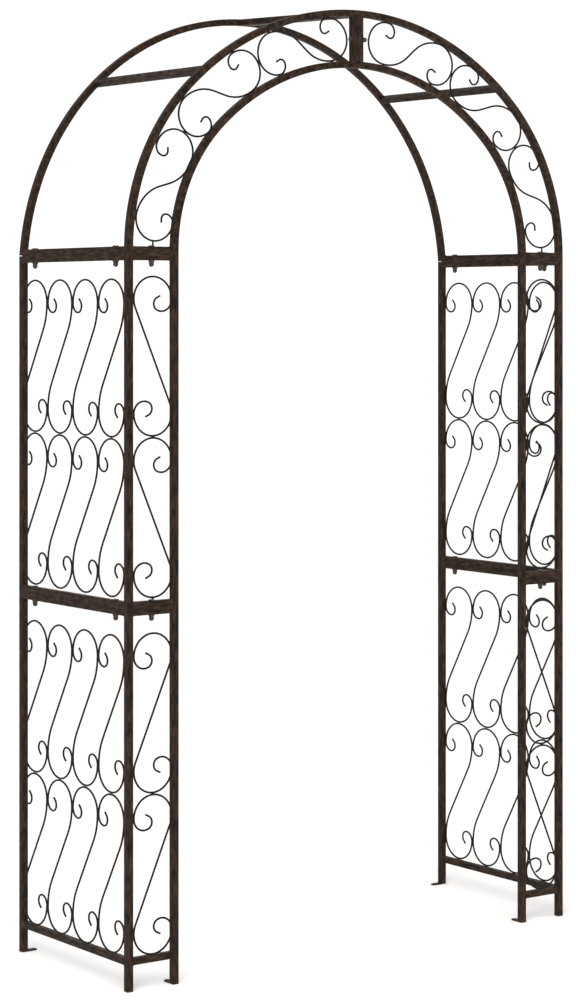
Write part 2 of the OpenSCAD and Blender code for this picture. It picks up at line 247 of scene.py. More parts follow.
def applied(obj, kind, **settings):
    """Adds one modifier, sets it and applies it."""
    only(obj)
    modifier = obj.modifiers.new(kind.title(), kind)
    for key, value in settings.items():
        setattr(modifier, key, value)
    bpy.ops.object.modifier_apply(modifier=modifier.name)
    return obj


def square_profile(x, y, heading):
    """The rounded outline of the frame tube, facing along the heading."""
    radius = bpy.context.scene.trellis_sizes.corner_radius
    bpy.ops.mesh.primitive_plane_add(size=TUBE, location=(x, y, 0), rotation=(0, pi / 2, heading))
    edit(bpy.context.object)
    bpy.ops.mesh.bevel(offset=radius, segments=3, affect="VERTICES")


def round_profile(x, y, heading):
    """The outline of the scroll wire, facing along the heading."""
    radius = bpy.context.scene.trellis_sizes.wire_diameter / 2
    bpy.ops.mesh.primitive_circle_add(vertices=WIRE_SIDES, radius=radius, fill_type="NGON",
                                      location=(x, y, 0), rotation=(0, pi / 2, heading))
    edit(bpy.context.object)


def swept(profile, steps, at=(0, 0), heading=0.0, facet=radians(4)):
    """A bar drawn through the XY plane by extruding and spinning its profile.
    A step is (radius, turn), with left turns positive, or (0, length)."""
    x, y = at
    bpy.ops.object.select_all(action="DESELECT")
    profile(x, y, heading)
    bpy.ops.mesh.select_all(action="SELECT")
    for radius, amount in steps:
        if radius == 0:
            dx, dy = amount * cos(heading), amount * sin(heading)
            bpy.ops.mesh.extrude_region_move(TRANSFORM_OT_translate={"value": (dx, dy, 0)})
            x, y = x + dx, y + dy
            continue
        side = 1 if amount > 0 else -1
        cx, cy = x - side * radius * sin(heading), y + side * radius * cos(heading)
        bpy.ops.mesh.spin(steps=max(2, round(abs(amount) / facet)), angle=abs(amount),
                          center=(cx, cy, 0), axis=(0, 0, -side))
        heading += amount
        x, y = cx + side * radius * sin(heading), cy - side * radius * cos(heading)
    bar = done()
    only(bar)
    bpy.ops.object.transform_apply(location=True, rotation=True, scale=True)
    return close_up(bar)


def frame_axes(x_axis, y_axis, at):
    """The matrix that lays the XY plane along two axes, at a point."""
    x_axis, y_axis = Vector(x_axis), Vector(y_axis)
    turn = Matrix((x_axis, y_axis, x_axis.cross(y_axis))).transposed()
    return Matrix.Translation(at) @ turn.to_4x4()


def piece(obj, name, material, slot, *nodes):
    """Names a finished piece, gives it its finish and puts it in the frame."""
    obj.name = obj.data.name = name
    obj.data.materials.clear()
    obj.data.materials.append(material)
    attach(obj, "root")
    if nodes:
        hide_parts(*nodes)
    return obj


MIRROR = Matrix.Scale(-1, 4, (1, 0, 0))


def both_sides(obj, name, material, slot, node=None):
    """A piece of the left side, and its mirror image on the right."""
    twin = copied(obj, MIRROR)
    for side, part in zip(SIDES, (obj, twin)):
        nodes = (f"{side}_{node}",) if node else ()
        piece(part, f"{side}_{name}", material, slot, *nodes)


# ---------- materials ----------

def add(tree, kind, links=None, **settings):
    """Adds a node, sets its properties or inputs, and links its inputs."""
    node = tree.nodes.new(kind)
    for key, value in settings.items():
        if hasattr(node, key):
            setattr(node, key, value)
        else:
            node.inputs[key.replace("_", " ")].default_value = value
    for key, socket in (links or {}).items():
        tree.links.new(socket, node.inputs[key])
    return node


def ramp(tree, factor, colour, *stops):
    """A ramp of one linear colour through (position, brightness) stops."""
    node = add(tree, "ShaderNodeValToRGB", {"Fac": factor})
    elements = node.color_ramp.elements
    while len(elements) < len(stops):
        elements.new(0.5)
    for element, (position, brightness) in zip(elements, stops):
        element.position = position
        element.color = (*(channel * brightness for channel in colour), 1)
    return node


def blank(name):
    """A material with an empty node tree."""
    material = bpy.data.materials.new(name)
    material.use_nodes = True
    material.node_tree.nodes.clear()
    return material, material.node_tree


def bronze_powder_coat(name, stretch):
    """Antique bronze powder coat on drawn steel tube. It was sprayed in two passes, dark over
    brown, so the eye gets a satin film with soft brown and black clouds a finger wide, drawn
    out along the tube, fine orange peel, and lighter edges: part rubbed wear, part painted
    highlight."""
    material, tree = blank(name)
    place = add(tree, "ShaderNodeTexCoord").outputs["Object"]
    along = add(tree, "ShaderNodeMapping", {"Vector": place}, Scale=stretch).outputs["Vector"]
    # clouds about 6 mm wide
    clouds = add(tree, "ShaderNodeTexNoise", {"Vector": along}, Scale=1 / 0.006, Detail=5.0,
                 Roughness=0.62).outputs["Fac"]
    # sprayed speckle, 2 mm
    speckle = add(tree, "ShaderNodeTexNoise", {"Vector": place}, Scale=1 / 0.002, Detail=2.0,
                  Roughness=0.7).outputs["Fac"]
    bronze = bpy.context.scene.trellis_colours.tube
    body = ramp(tree, clouds, bronze, (0.34, 0.15), (0.46, 0.55), (0.56, 1.1), (0.70, 2.0))
    grain = ramp(tree, speckle, (1, 1, 1), (0.38, 0.2), (0.52, 0.9), (0.66, 1.0))
    sprayed = add(tree, "ShaderNodeMix", {6: body.outputs["Color"], 7: grain.outputs["Color"]},
                  data_type="RGBA", blend_type="MULTIPLY")
    sprayed.inputs[0].default_value = 0.8
    # edge wear and painted highlight: lighter bronze where the rounded normal leaves the flat one
    rounded = add(tree, "ShaderNodeBevel", samples=6, Radius=0.0016).outputs["Normal"]
    flat = add(tree, "ShaderNodeNewGeometry").outputs["Normal"]
    bend = add(tree, "ShaderNodeVectorMath", {0: rounded, 1: flat}, operation="DOT_PRODUCT")
    edge_wear_and_highlight = add(tree, "ShaderNodeMapRange", {"Value": bend.outputs["Value"]}, From_Min=0.995,
              From_Max=0.93, To_Min=0.0, To_Max=0.55)
    patchy_wear_and_highlight = add(tree, "ShaderNodeMath", {0: edge_wear_and_highlight.outputs["Result"], 1: clouds},
                 operation="MULTIPLY")
    worn_and_highlit = add(tree, "ShaderNodeMix", {0: patchy_wear_and_highlight.outputs[0], 6: sprayed.outputs[2]},
               data_type="RGBA")
    # edge colour, part rubbed wear and part painted highlight: the bronze made 3.4 times lighter
    worn_and_highlit.inputs[7].default_value = (*(channel * 3.4 for channel in bronze), 1)
    # orange peel, 1.2 mm
    peel = add(tree, "ShaderNodeTexNoise", {"Vector": place}, Scale=1 / 0.0012, Detail=1.0)
    bump = add(tree, "ShaderNodeBump", {"Height": peel.outputs["Fac"]}, Strength=0.25,
               Distance=0.0001)
    gloss = add(tree, "ShaderNodeMapRange", {"Value": clouds}, From_Min=0.3, From_Max=0.7,
                To_Min=0.62, To_Max=0.42)
    skin = add(tree, "ShaderNodeBsdfPrincipled",
               {"Base Color": worn_and_highlit.outputs[2], "Roughness": gloss.outputs["Result"],
                "Normal": bump.outputs["Normal"]}, Specular_IOR_Level=0.1)
    add(tree, "ShaderNodeOutputMaterial", {"Surface": skin.outputs[0]})
    return material


def black_powder_coat():
    """Near-black powder coat on drawn wire: an even satin film, a little brown where it is thin."""
    material, tree = blank("black_powder_coated_wire")
    place = add(tree, "ShaderNodeTexCoord").outputs["Object"]
    # thin and thick patches about 9 mm long
    patches = add(tree, "ShaderNodeTexNoise", {"Vector": place}, Scale=1 / 0.009, Detail=4.0,
                  Roughness=0.6).outputs["Fac"]
    black = bpy.context.scene.trellis_colours.wire
    tone = ramp(tree, patches, black, (0.32, 0.5), (0.55, 1.0), (0.72, 2.2))
    peel = add(tree, "ShaderNodeTexNoise", {"Vector": place}, Scale=1 / 0.001, Detail=1.0)
    bump = add(tree, "ShaderNodeBump", {"Height": peel.outputs["Fac"]}, Strength=0.2,
               Distance=0.0001)
    gloss = add(tree, "ShaderNodeMapRange", {"Value": patches}, From_Min=0.3, From_Max=0.7,
                To_Min=0.40, To_Max=0.55)
    skin = add(tree, "ShaderNodeBsdfPrincipled",
               {"Base Color": tone.outputs["Color"], "Roughness": gloss.outputs["Result"],
                "Normal": bump.outputs["Normal"]}, Specular_IOR_Level=0.12)
    add(tree, "ShaderNodeOutputMaterial", {"Surface": skin.outputs[0]})
    return material


def bronzed_zinc():
    """Zinc-plated steel, dipped in a bronze lacquer: a dull metal, with brown and brighter
    stain patches scattered over it."""
    material, tree = blank("bronzed_zinc")
    place = add(tree, "ShaderNodeTexCoord").outputs["Object"]
    # stain patches, 3 mm
    stain = add(tree, "ShaderNodeTexNoise", {"Vector": place}, Scale=1 / 0.003, Detail=4.0,
                Roughness=0.6).outputs["Fac"]
    lacquer = bpy.context.scene.trellis_colours.bolt
    tone = ramp(tree, stain, lacquer, (0.32, 0.45), (0.55, 1.0), (0.75, 2.4))
    gloss = add(tree, "ShaderNodeMapRange", {"Value": stain}, From_Min=0.3, From_Max=0.7,
                To_Min=0.48, To_Max=0.28)
    bump = add(tree, "ShaderNodeBump", {"Height": stain}, Strength=0.15, Distance=0.0001)
    skin = add(tree, "ShaderNodeBsdfPrincipled",
               {"Base Color": tone.outputs["Color"], "Roughness": gloss.outputs["Result"],
                "Normal": bump.outputs["Normal"]}, Metallic=0.85)
    add(tree, "ShaderNodeOutputMaterial", {"Surface": skin.outputs[0]})
    return material


def moulded_polyethylene():
    """Black polyethylene, injection moulded: matt, with a fine spark grain and dust in it."""
    material, tree = blank("moulded_black_polyethylene")
    place = add(tree, "ShaderNodeTexCoord").outputs["Object"]
    # spark grain, 0.6 mm
    grain = add(tree, "ShaderNodeTexNoise", {"Vector": place}, Scale=1 / 0.0006, Detail=2.0)
    dust = add(tree, "ShaderNodeTexNoise", {"Vector": place}, Scale=1 / 0.006, Detail=3.0)
    plastic = bpy.context.scene.trellis_colours.cap
    tone = ramp(tree, dust.outputs["Fac"], plastic, (0.35, 0.7), (0.70, 2.2))
    bump = add(tree, "ShaderNodeBump", {"Height": grain.outputs["Fac"]}, Strength=0.3,
               Distance=0.0001)
    skin = add(tree, "ShaderNodeBsdfPrincipled",
               {"Base Color": tone.outputs["Color"], "Normal": bump.outputs["Normal"]},
               Roughness=0.6)
    add(tree, "ShaderNodeOutputMaterial", {"Surface": skin.outputs[0]})
    return material


FINISHES = {}


def finish_of(name):
    """The finishes, each made the first time that it is asked for."""
    makers = {
        "upright": lambda: bronze_powder_coat("bronze_powder_coat_upright", (1, 1, 0.22)),
        "lengthwise": lambda: bronze_powder_coat("bronze_powder_coat_lengthwise", (1, 0.22, 1)),
        "crosswise": lambda: bronze_powder_coat("bronze_powder_coat_crosswise", (0.22, 1, 1)),
        "bent": lambda: bronze_powder_coat("bronze_powder_coat_bent", (0.6, 1, 0.6)),
        "wire": black_powder_coat,
        "bolt": bronzed_zinc,
        "cap": moulded_polyethylene,
    }
    if name not in FINISHES:
        FINISHES[name] = makers[name]()
    return FINISHES[name]


# ---------- straight tubes ----------

def tube_between(low, high):
    """A straight tube along its box's longest side, with cut ends."""
    size = high - low
    axis = max(range(3), key=lambda i: size[i])
    direction = Vector([1.0 if i == axis else 0.0 for i in range(3)])
    across = Vector((0, 0, 1)) if axis < 2 else Vector((1, 0, 0))
    start = (low + high) / 2 - direction * size[axis] / 2
    bar = swept(square_profile, [(0, size[axis])])
    return placed(bar, frame_axes(direction, across, start))


def weld_bead():
    """A rippled fillet of weld along X, as long as the tube is wide."""
    lumps = []
    for i in range(BEAD_LUMPS):
        x = (i - (BEAD_LUMPS - 1) / 2) * BEAD_PITCH
        bpy.ops.object.select_all(action="DESELECT")
        bpy.ops.mesh.primitive_uv_sphere_add(segments=8, ring_count=6, radius=BEAD_R,
                                             location=(x, 0, 0))
        lumps.append(bpy.context.object)
    bead = joined(lumps)
    bpy.ops.object.transform_apply(location=True, rotation=True, scale=True)
    bpy.ops.object.shade_smooth()
    return bead


def end_beads(bead, low, high):
    """Beads above and below both ends of a level tube, where it meets its posts."""
    size = high - low
    axis = 0 if size.x > size.y else 1
    beads = []
    for end in (low, high):
        for z in (low.z, high.z):
            at = (low + high) / 2
            at[axis], at.z = end[axis], z
            turn = Matrix.Rotation(0 if axis else pi / 2, 4, "Z")
            beads.append(copied(bead, Matrix.Translation(at) @ turn))
    return beads


class TRELLIS_OT_posts(bpy.types.Operator):
    """Add the upright tubes of the four column sections"""
    bl_idname = "trellis.posts"
    bl_label = "Posts"

    def execute(self, context):
        for section in SECTIONS:
            for post in ("corner", "inner", "back"):
                node = f"{section}_{post}_post"
                bar = tube_between(*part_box("left_" + node))
                both_sides(bar, node + "_tube", finish_of("upright"), "frame", node)
        return {"FINISHED"}


class TRELLIS_OT_rails(bpy.types.Operator):
    """Add the level tubes between the posts and under the arch"""
    bl_idname = "trellis.rails"
    bl_label = "Rails"

    def execute(self, context):
        bead = weld_bead()
        for section in SECTIONS:
            for kind, coat in (("side", "lengthwise"), ("front", "crosswise")):
                node = f"{section}_{kind}_rails"
                low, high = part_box("left_" + node)
                parts = []
                for ends in ((low, Vector((high.x, high.y, low.z + TUBE))),
                             (Vector((low.x, low.y, high.z - TUBE)), high)):
                    parts += [tube_between(*ends), *end_beads(bead, *ends)]
                both_sides(joined(parts), node + "_tubes", finish_of(coat), "frame", node)
        for kind, coat in (("side", "lengthwise"), ("front", "crosswise")):
            node = f"arch_{kind}_foot_rail"
            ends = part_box("left_" + node)
            parts = [tube_between(*ends), *end_beads(bead, *ends)]
            both_sides(joined(parts), node + "_tube", finish_of(coat), "frame", node)
        discard(bead)
        return {"FINISHED"}


# ---------- the arch ----------

def on_arch(radius, cz, angle, cx=0.0):
    """A point on a bend of the left half, by its angle up from the springing line."""
    return Vector((-cx - radius * cos(angle), cz + radius * sin(angle)))


def middle_point(along):
    """A point midway between the two front arches, by its distance from the foot."""
    haunch_r, crown_r = HAUNCH_R - MIDDLE_OFFSET, CROWN_R - MIDDLE_OFFSET
    run = along - FOOT_H
    if run < haunch_r * HAUNCH_TURN:
        return on_arch(haunch_r, FOOT_H, run / haunch_r, HAUNCH_CX)
    return on_arch(crown_r, CROWN_CZ, HAUNCH_TURN + (run - haunch_r * HAUNCH_TURN) / crown_r)


def upright_plane(y, z):
    """Lays a drawing upright, facing the front."""
    return frame_axes((1, 0, 0), (0, 0, 1), Vector((0, y, z)))


def hollow_end(obj, towards):
    """Opens the flat end face that looks this way, to show the tube's wall."""
    towards = Vector(towards)
    edit(obj, "DESELECT")
    done()
    ends = [p for p in obj.data.polygons if p.normal.dot(towards) > 0.99 and len(p.vertices) > 8]
    for face in ends:
        face.select = True
    bpy.ops.object.mode_set(mode="EDIT")
    bpy.ops.mesh.select_mode(type="FACE")
    bpy.ops.mesh.inset(thickness=TUBE_WALL, use_even_offset=True)
    bpy.ops.mesh.extrude_region_move(TRANSFORM_OT_translate={"value": -towards * OPEN_DEPTH})
    done()
    return obj


class TRELLIS_OT_arches(bpy.types.Operator):
    """Add the double front arch and the single back arch, each in two halves"""
    bl_idname = "trellis.arches"
    bl_label = "Arch tubes"

    def execute(self, context):
        for node, offset in (("front_outer_arch", 0.0), ("front_inner_arch", INNER_OFFSET)):
            crown_r = CROWN_R - offset
            crown_turn = pi / 2 - HAUNCH_TURN - asin(CROWN_GAP / 2 / crown_r)
            steps = [(0, FOOT_H), (HAUNCH_R - offset, -HAUNCH_TURN), (crown_r, -crown_turn)]
            bar = swept(square_profile, steps, (offset - HALF_W, 0), pi / 2, ARCH_FACET)
            placed(bar, upright_plane(FRONT_Y + TUBE / 2, TOP_Z))
            both_sides(bar, node + "_tube", finish_of("bent"), "frame", node)
        lean = asin((BACK_FOOT - BACK_CZ) / BACK_R)
        turn = pi / 2 - lean - asin(CROWN_GAP / 2 / BACK_R)
        foot = on_arch(BACK_R, BACK_CZ, lean)
        bar = swept(square_profile, [(BACK_R, -turn)], foot, pi / 2 - lean, ARCH_FACET)
        hollow_end(bar, (-sin(lean), -cos(lean), 0))
        placed(bar, upright_plane(BACK_Y - TUBE / 2, TOP_Z))
        both_sides(bar, "back_arch_tube", finish_of("bent"), "frame", "back_arch")
        return {"FINISHED"}


def sloping_bar(x, front_z, back_z, roll):
    """A bar from the front arch to the back arch, made a tube too long at both ends
    and cut flush with the arches."""
    slope = atan2(back_z - front_z, CLEAR_D)
    length = (CLEAR_D + 2 * TUBE) / cos(slope)
    bar = swept(square_profile, [(0, length)])
    direction = Vector((0, cos(slope), sin(slope)))
    start = Vector((x, FRONT_Y + TUBE, TOP_Z + front_z)) - direction * TUBE / cos(slope)
    turned = frame_axes(direction, Vector((1, 0, 0)), start) @ Matrix.Rotation(roll, 4, "X")
    placed(bar, turned)
    edit(bar)
    for y, way in ((FRONT_Y + TUBE, -1), (BACK_Y - TUBE, 1)):
        bpy.ops.mesh.select_all(action="SELECT")
        bpy.ops.mesh.bisect(plane_co=(0, y, 0), plane_no=(0, way, 0), use_fill=True,
                            clear_outer=True)
    done()
    return close_up(bar)


class TRELLIS_OT_cross_bars(bpy.types.Operator):
    """Add the crown posts and the bars that join the front arch to the back arch"""
    bl_idname = "trellis.cross_bars"
    bl_label = "Cross bars and crown posts"

    def execute(self, context):
        bar = tube_between(*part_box("left_crown_post"))
        both_sides(bar, "crown_post_tube", finish_of("upright"), "frame", "crown_post")
        x = -(CROWN_GAP + TUBE) / 2
        bar = sloping_bar(x, FRONT_RISE, BACK_RISE, 0.0)
        both_sides(bar, "crown_crossbar_tube", finish_of("lengthwise"), "frame", "crown_crossbar")
        low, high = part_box("left_haunch_crossbar")
        x = (low.x + high.x) / 2
        front_z = CROWN_CZ + sqrt(CROWN_R ** 2 - x ** 2)
        back_z = BACK_CZ + sqrt(BACK_R ** 2 - x ** 2)
        bar = sloping_bar(x, front_z, back_z, -asin(x / CROWN_R))
        both_sides(bar, "haunch_crossbar_tube", finish_of("lengthwise"), "frame",
                   "haunch_crossbar")
        return {"FINISHED"}


# ---------- scrolls ----------

def scroll(loop_r, pitch, blend_r, curl):
    """One S-scroll about the origin, from the tip of one curl to the tip of the other."""
    half = pitch / 2
    lean = asin(blend_r / hypot(half, blend_r - loop_r)) - atan2(blend_r - loop_r, half)
    slope = (half - blend_r * sin(lean)) / cos(lean)
    out = [(blend_r, lean), (loop_r, pi), *curl]
    x, y, heading = slope * sin(lean), slope * cos(lean), pi / 2 - lean
    for radius, amount in out:
        if radius == 0:
            x, y = x + amount * cos(heading), y + amount * sin(heading)
        else:
            x, y = x - radius * sin(heading), y + radius * cos(heading)
            heading += amount
            x, y = x + radius * sin(heading), y - radius * cos(heading)
    back = [(r, -a) if r else (0, a) for r, a in reversed(out)]
    return swept(round_profile, [*back, (0, 2 * slope), *out], (-x, -y), heading,
                 WIRE_FACET)


def weld_tack():
    """A small lump of weld, longer upwards, where a wire touches its neighbour."""
    bpy.ops.object.select_all(action="DESELECT")
    bpy.ops.mesh.primitive_uv_sphere_add(segments=8, ring_count=6, radius=TACK_R)
    tack = bpy.context.object
    tack.scale = TACK_SHAPE
    only(tack)
    bpy.ops.object.transform_apply(location=True, rotation=True, scale=True)
    bpy.ops.object.shade_smooth()
    return tack


def tacked(tack, at, across, lying):
    """A copy of the tack at a contact: standing beside a loop, or lying between two."""
    through = Vector((0, 1, 0))
    across = Vector(across)
    return copied(tack, frame_axes(through.cross(across) if lying else across, through, at))


def stub(x, y, top, height):
    """A short upright stub of wire that carries the lowest loop over a bolt head."""
    bpy.ops.object.select_all(action="DESELECT")
    bpy.ops.mesh.primitive_cone_add(vertices=10, radius1=STUB_R * STUB_FLARE, radius2=STUB_R,
                                    depth=height, location=(x, y, top - height / 2 + STUB_LAP))
    return placed(bpy.context.object, bpy.context.object.matrix_world.copy())


def panel_rows(node):
    """Bottom and row height of a scroll panel, from its box."""
    low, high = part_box(node)
    return low.z - WELD_GAP / 2, (high.z - low.z + WELD_GAP) / SCROLL_ROWS


class TRELLIS_OT_side_scrolls(bpy.types.Operator):
    """Add the scrolls of the four side panels"""
    bl_idname = "trellis.side_scrolls"
    bl_label = "Side scrolls"

    def execute(self, context):
        wire = context.scene.trellis_sizes.wire_diameter
        across = CLEAR_D / SCROLLS_ACROSS
        loop_r = (across - 2 * WELD_GAP - wire) / 2
        _, row_h = panel_rows("left_upper_side_scrolls")
        tack = weld_tack()
        first = scroll(loop_r, row_h - WELD_GAP - wire - 2 * loop_r, SIDE_BLEND_R, SIDE_CURL)
        for section in SECTIONS:
            node = f"{section}_side_scrolls"
            low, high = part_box("left_" + node)
            base, row_h = panel_rows("left_" + node)
            wires = []
            for row in range(SCROLL_ROWS):
                for i in range(SCROLLS_ACROSS):
                    at = Vector(((low.x + high.x) / 2, BACK_Y - TUBE - (i + 0.5) * across,
                                 base + (row + 0.5) * row_h))
                    wires.append(copied(first, frame_axes((0, -1, 0), (0, 0, 1), at)))
                    half = row_h / 2 - WELD_GAP / 2 - wire / 2 - loop_r
                    spots = [(across / 2, half), (across / 2, -half), (0, -row_h / 2)]
                    if i == SCROLLS_ACROSS - 1:
                        spots += [(-across / 2, half), (-across / 2, -half)]
                    for y, z in spots:
                        wires.append(tacked(tack, at + Vector((0, y, z)), (0, 1, 0), y == 0))
            both_sides(joined(wires), node + "_wires", finish_of("wire"), "scrolls", node)
        discard(first, tack)
        return {"FINISHED"}


class TRELLIS_OT_front_scrolls(bpy.types.Operator):
    """Add the scrolls of the four narrow front panels"""
    bl_idname = "trellis.front_scrolls"
    bl_label = "Front scrolls"

    def execute(self, context):
        wire = context.scene.trellis_sizes.wire_diameter
        loop_r = (CLEAR_W - 2 * WELD_GAP - wire) / 2
        _, row_h = panel_rows("left_upper_front_scrolls")
        tack = weld_tack()
        first = scroll(loop_r, row_h - WELD_GAP - wire - 2 * loop_r, loop_r, FRONT_CURL)
        for section, hand in (("upper", -1), ("lower", 1)):
            node = f"{section}_front_scrolls"
            low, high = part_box("left_" + node)
            base, row_h = panel_rows("left_" + node)
            wires = []
            for row in range(SCROLL_ROWS):
                at = Vector((FRONT_MID_X, (low.y + high.y) / 2, base + (row + 0.5) * row_h))
                turned = frame_axes((1, 0, 0), (0, 0, 1), at) @ Matrix.Scale(hand, 4, (1, 0, 0))
                wires.append(copied(first, turned))
                half = row_h / 2 - WELD_GAP / 2 - wire / 2 - loop_r
                side = CLEAR_W / 2
                for x, z in ((side, half), (side, -half), (-side, half), (-side, -half),
                             (0, -row_h / 2)):
                    wires.append(tacked(tack, at + Vector((x, 0, z)), (1, 0, 0), x == 0))
            both_sides(joined(wires), node + "_wires", finish_of("wire"), "scrolls", node)
        discard(first, tack)
        return {"FINISHED"}


class TRELLIS_OT_arch_scrolls(bpy.types.Operator):
    """Add the scrolls between the two front arches"""
    bl_idname = "trellis.arch_scrolls"
    bl_label = "Arch scrolls"

    def execute(self, context):
        sizes = context.scene.trellis_sizes
        loop_r = sizes.arch_loop_radius
        step = ARCH_PITCH + 2 * loop_r + sizes.wire_diameter + ARCH_WELD_GAP
        low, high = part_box("left_arch_scrolls")
        y = (low.y + high.y) / 2
        tack = weld_tack()
        wires = []
        for i in range(ARCH_SCROLLS):
            start = ARCH_FIRST_LOOP + i * step
            bottom, top = middle_point(start), middle_point(start + ARCH_PITCH)
            rise = top - bottom
            wire = scroll(loop_r, rise.length, ARCH_BLEND_R, ARCH_CURL)
            up = Vector((rise.x, 0, rise.y)).normalized()
            centre = (bottom + top) / 2
            at = Vector((centre.x, y, TOP_Z + centre.y))
            wires.append(placed(wire, frame_axes((up.z, 0, -up.x), up, at)))
            for along in (start, start + ARCH_PITCH):
                ahead = middle_point(along + 0.001) - middle_point(along - 0.001)
                across = Vector((ahead.y, 0, -ahead.x)).normalized()
                spot = middle_point(along)
                for way in (-1, 1):
                    at = Vector((spot.x, y, TOP_Z + spot.y)) + across * way * CLEAR_W / 2
                    wires.append(tacked(tack, at, across, False))
            if i < ARCH_SCROLLS - 1:
                spot = middle_point(start + ARCH_PITCH + (step - ARCH_PITCH) / 2)
                wires.append(tacked(tack, Vector((spot.x, y, TOP_Z + spot.y)), across, True))
        stand = low.z - TOP_Z - TUBE
        wires.append(stub(FRONT_MID_X, y, low.z, stand))
        both_sides(joined(wires), "arch_scroll_wires", finish_of("wire"), "scrolls",
                   "arch_scrolls")
        discard(tack)
        return {"FINISHED"}


# ---------- fasteners ----------

def chamfered_hexagon(height):
    """A hexagon from the origin upwards, its corners turned off at the top."""
    bpy.ops.object.select_all(action="DESELECT")
    bpy.ops.mesh.primitive_cylinder_add(vertices=6, radius=HEAD_AF / sqrt(3), depth=height,
                                        location=(0, 0, height / 2))
    hexagon = bpy.context.object
    reach = height * 3
    bpy.ops.object.select_all(action="DESELECT")
    bpy.ops.mesh.primitive_cone_add(vertices=48, radius1=HEAD_FLAT_R + reach * CHAMFER_SLOPE,
                                    radius2=HEAD_FLAT_R, depth=reach,
                                    location=(0, 0, height - reach / 2))
    turner = bpy.context.object
    applied(hexagon, "BOOLEAN", object=turner, operation="INTERSECT", solver="EXACT")
    discard(turner)
    applied(hexagon, "BEVEL", width=HEAD_EDGE, segments=2, limit_method="ANGLE",
            angle_limit=radians(25))
    return hexagon


def bolt_head(height):
    """A chamfered hexagon head on its washer face."""
    head = chamfered_hexagon(height)
    bpy.ops.object.select_all(action="DESELECT")
    bpy.ops.mesh.primitive_cylinder_add(vertices=32, radius=WASHER_R, depth=WASHER_H,
                                        location=(0, 0, WASHER_H / 2))
    return close_up(joined([head, bpy.context.object]), 25)


def cap_nut():
    """A domed cap nut, hanging from the origin."""
    body = placed(chamfered_hexagon(NUT_H), Matrix.Scale(-1, 4, (0, 0, 1)))
    bpy.ops.object.select_all(action="DESELECT")
    bpy.ops.mesh.primitive_uv_sphere_add(segments=24, ring_count=16, radius=DOME_R)
    edit(bpy.context.object)
    bpy.ops.mesh.bisect(plane_co=(0, 0, 0), plane_no=(0, 0, 1), clear_outer=True)
    bpy.ops.mesh.select_all(action="DESELECT")
    dome = done()
    for edge in dome.data.edges:
        edge.select = all(abs(dome.data.vertices[v].co.z) < 1e-5 for v in edge.vertices)
    bpy.ops.object.mode_set(mode="EDIT")
    bpy.ops.mesh.select_mode(type="EDGE")
    bpy.ops.mesh.extrude_region_move(
        TRANSFORM_OT_translate={"value": (0, 0, NUT_TOTAL - DOME_R - NUT_H * 0.5)})
    bpy.ops.mesh.edge_face_add()
    done()
    placed(dome, Matrix.Translation((0, 0, DOME_R - NUT_TOTAL)))
    return close_up(joined([body, dome]), 25)


def joint_bolt_places():
    """Centres of the bolts through the stacked rails of the left side."""
    x = OUTER_X + TUBE / 2
    spots = [(x, FRONT_Y + BOLT_INSET), (x, BACK_Y - BOLT_INSET), (FRONT_MID_X, FRONT_Y + TUBE / 2)]
    return [Vector((px, py, z)) for z in (MID_Z, TOP_Z) for px, py in spots]


def crown_bolt_places():
    """Centres of the two bolts across the crown: through the posts and the cross bars."""
    front = Vector((0, FRONT_Y + TUBE / 2, TOP_Z + FRONT_RISE - MIDDLE_OFFSET))
    rise = FRONT_RISE + (BACK_RISE - FRONT_RISE) * (BACK_Y - BOLT_INSET - FRONT_Y - TUBE) / CLEAR_D
    return [front, Vector((0, BACK_Y - BOLT_INSET, TOP_Z + rise))]


def spanner_turn(spot):
    """How far this bolt and its nut happen to be turned: scattered, but the same in every run."""
    return Matrix.Rotation((spot.x * 9000 + spot.z * 700) % pi, 4, "Z")


class TRELLIS_OT_bolts(bpy.types.Operator):
    """Add the hexagon bolts and their cap nuts"""
    bl_idname = "trellis.bolts"
    bl_label = "Bolts and cap nuts"

    def execute(self, context):
        head_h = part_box("joint_bolts")[1].z - TOP_Z - TUBE
        head, nut = bolt_head(head_h), cap_nut()
        heads, nuts = [], []
        for spot in joint_bolt_places():
            for side in (1, -1):
                at = Vector((spot.x * side, spot.y, spot.z))
                turn = spanner_turn(spot)
                up = Matrix.Translation(at + Vector((0, 0, TUBE)))
                down = Matrix.Translation(at - Vector((0, 0, TUBE)))
                heads.append(copied(head, up @ turn))
                nuts.append(copied(nut, down @ turn))
        piece(joined(heads), "joint_bolt_heads", finish_of("bolt"), "bolts", "joint_bolts")
        piece(joined(nuts), "joint_cap_nuts", finish_of("bolt"), "bolts", "joint_nuts")
        heads, nuts = [], []
        across = Matrix.Rotation(-pi / 2, 4, "Y")
        reach = Vector((TUBE + CROWN_GAP / 2, 0, 0))
        for spot in crown_bolt_places():
            heads.append(copied(head, Matrix.Translation(spot - reach) @ across))
            nuts.append(copied(nut, Matrix.Translation(spot + reach) @ across))
        piece(joined(heads), "crown_bolt_heads", finish_of("bolt"), "bolts", "crown_bolts")
        piece(joined(nuts), "crown_cap_nuts", finish_of("bolt"), "bolts", "crown_nuts")
        discard(head, nut)
        return {"FINISHED"}


# ---------- feet ----------

